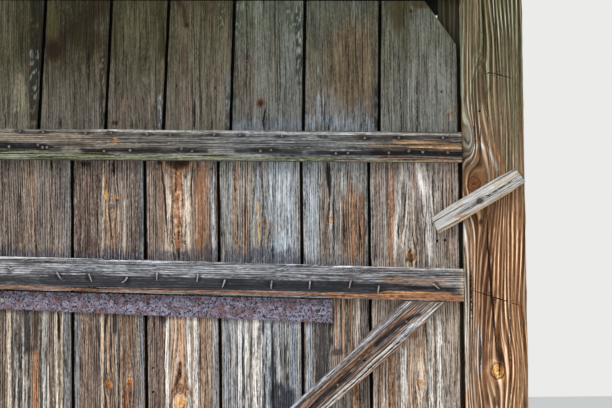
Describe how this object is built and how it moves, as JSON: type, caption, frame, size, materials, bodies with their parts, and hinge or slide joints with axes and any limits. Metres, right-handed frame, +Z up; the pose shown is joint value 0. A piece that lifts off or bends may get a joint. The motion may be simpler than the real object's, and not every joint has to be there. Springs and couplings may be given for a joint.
{
  "type": "barn door",
  "caption": "Outward-opening plank door with battens, a diagonal brace, strap hinges and a turn button, hung in a pegged timber frame.",
  "frame": {"origin": "underside of the sill, midway between the posts, in the plane of the boards' front faces", "axes": "+X to the viewer's right across the doorway, +Y from the outside through the door to the inside, +Z up"},
  "size_m": [1.38, 0.1664, 2.0905],
  "materials": {
    "upper_boards": "bare weathered softwood, grey-brown, greenish at the top",
    "lower_boards": "bare weathered softwood, brown with grey streaks",
    "battens": "bare weathered softwood, raised grain",
    "frame_timber": "hewn softwood, warm brown, flame grain",
    "stop_strips": "sawn softwood, darkened",
    "pegs": "split hardwood",
    "nails": "rusted forged iron",
    "hinge_iron": "rusted and pitted flat bar",
    "bolts": "dull zinc-grey steel",
    "button_wood": "bare weathered softwood, silver grey"
  },
  "bodies": {
    "frame": {"left_post": "frame_timber", "right_post": "frame_timber", "head_beam": "frame_timber", "sill": "frame_timber", "frame_pegs": "pegs", "left_stop_strip": "stop_strips", "right_stop_strip": "stop_strips", "head_stop_strip": "stop_strips", "stop_strip_nails": "nails", "upper_pintle": "hinge_iron", "lower_pintle": "hinge_iron", "turn_button_nail": "nails"},
    "door_leaf": {"upper_board_1": "upper_boards", "upper_board_2": "upper_boards", "upper_board_3": "upper_boards", "upper_board_4": "upper_boards", "upper_board_5": "upper_boards", "upper_board_6": "upper_boards", "upper_board_7": "upper_boards", "upper_board_8": "upper_boards", "lower_board_1": "lower_boards", "lower_board_2": "lower_boards", "lower_board_3": "lower_boards", "lower_board_4": "lower_boards", "lower_board_5": "lower_boards", "lower_board_6": "lower_boards", "lower_board_7": "lower_boards", "upper_batten": "battens", "middle_batten": "battens", "lower_batten": "battens", "brace": "battens", "upper_batten_nails": "nails", "middle_batten_nails": "nails", "lower_batten_nails": "nails", "brace_nails": "nails", "upper_strap": "hinge_iron", "lower_strap": "hinge_iron", "upper_strap_bolts": "bolts", "lower_strap_bolts": "bolts"},
    "turn_button": {"turn_button": "button_wood"}
  },
  "joints": [
    {"name": "door_hinge", "type": "hinge", "parent": "frame", "child": "door_leaf", "pos_m": [-0.586, -0.01325, 0.8], "axis": [0, 0, -1], "range_deg": [0, 160]},
    {"name": "button_pivot", "type": "hinge", "parent": "frame", "child": "turn_button", "pos_m": [0.5935, -0.0133, 1.5252], "axis": [0, -1, 0], "range_deg": [-66, 66]}
  ]
}
